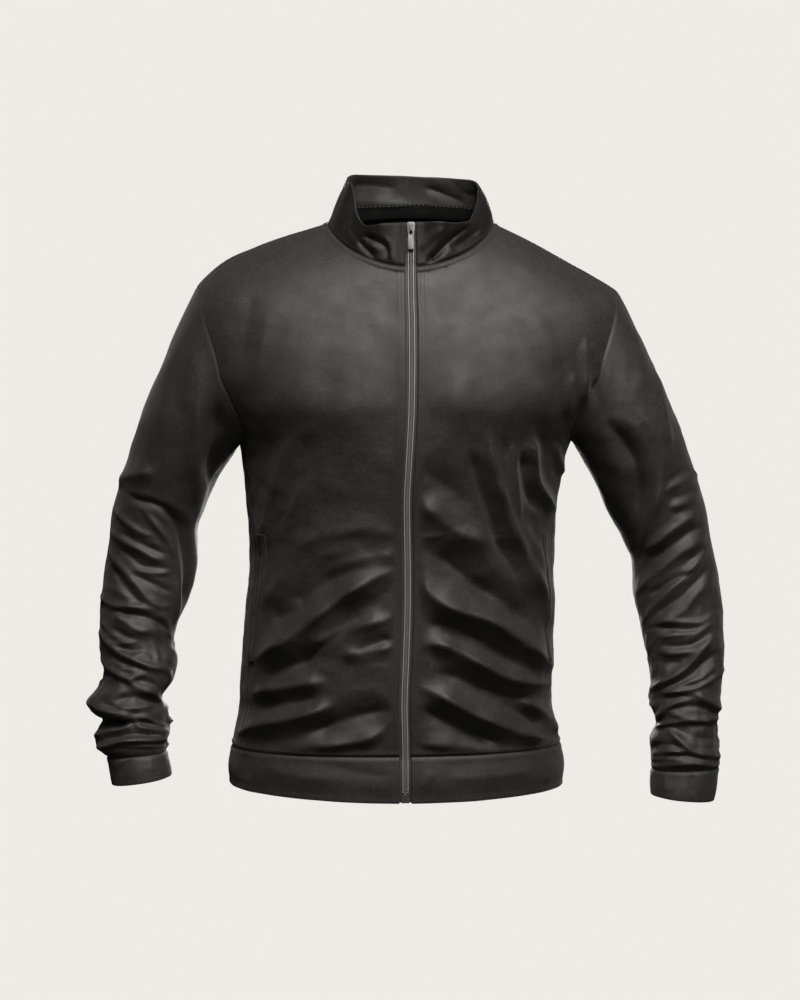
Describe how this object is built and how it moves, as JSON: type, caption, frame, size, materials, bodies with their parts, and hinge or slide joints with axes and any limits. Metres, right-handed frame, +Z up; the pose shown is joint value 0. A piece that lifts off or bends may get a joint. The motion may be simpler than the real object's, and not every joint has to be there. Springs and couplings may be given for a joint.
{
  "type": "track jacket",
  "caption": "Zip-up track jacket with a stand collar, set-in sleeves, cuffs, side pockets and a hem band, hollow and filled out as if worn.",
  "frame": {"origin": "between the shoulders, level with the side of the collar seam, where a wearer's neck and shoulders hold the jacket up", "axes": "+Z up, the zipped front faces -Y, the wearer's left arm is on +X"},
  "size_m": [0.7466, 0.2598, 0.7282],
  "materials": {
    "jersey": "smooth brushed-back polyester knit with a soft sheen",
    "band": "the same knit, doubled, a little more matte",
    "zip_tape": "woven polyester tape",
    "zip_coil": "dark grey nylon coil",
    "zip_metal": "satin grey metal"
  },
  "bodies": {
    "jacket": {"front_right": "jersey", "front_left": "jersey", "back_upper": "jersey", "back_lower": "jersey", "sleeve_right_cap": "jersey", "sleeve_right_top": "jersey", "sleeve_right_elbow": "jersey", "sleeve_right_forearm": "jersey", "sleeve_left_top": "jersey", "sleeve_left_elbow": "jersey", "sleeve_left_forearm": "jersey", "collar": "jersey", "pocket_welt_right": "jersey", "pocket_welt_left": "jersey", "cuff_right": "band", "cuff_left": "band", "hem_band": "band", "neck_tape": "zip_tape", "zip_tape_right": "zip_tape", "zip_tape_left": "zip_tape", "zip_coil": "zip_coil", "zip_box": "zip_coil", "zip_slider": "zip_metal"},
    "pull_tab": {"zip_pull": "zip_metal"}
  },
  "joints": [
    {"name": "pull_tab_hinge", "type": "hinge", "parent": "jacket", "child": "pull_tab", "pos_m": [0.003, -0.08845, -0.01675], "axis": [-1, 0, 0], "range_deg": [0, 170]}
  ]
}
